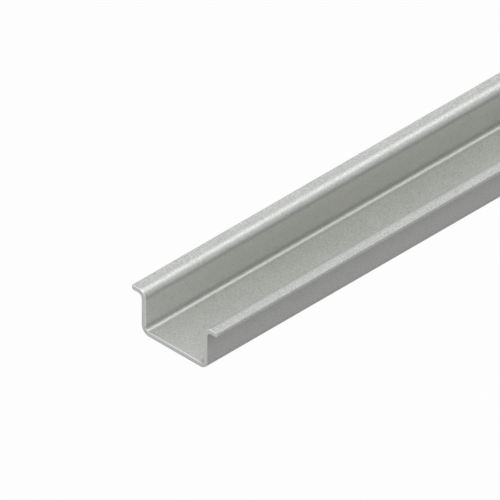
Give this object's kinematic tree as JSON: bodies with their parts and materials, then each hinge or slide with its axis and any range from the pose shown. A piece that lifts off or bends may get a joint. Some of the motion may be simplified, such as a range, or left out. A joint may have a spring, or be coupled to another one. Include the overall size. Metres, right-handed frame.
{
  "type": "din rail",
  "caption": "Deep top-hat mounting rail of galvanised steel strip, unperforated, with a flat base, upright webs and outward flanges that clip-on devices hook over.",
  "frame": {"origin": "middle of the mounting face: halfway along the rail and halfway across it, where the underside of the base touches the panel", "axes": "+X along the rail, +Y across it, +Z out of the mounting face, from the panel towards the flanges"},
  "size_m": [1, 0.035, 0.015],
  "materials": {
    "galvanised_steel": "galvanised, fine matt grey"
  },
  "bodies": {
    "root": {"rail": "galvanised_steel"}
  },
  "joints": []
}
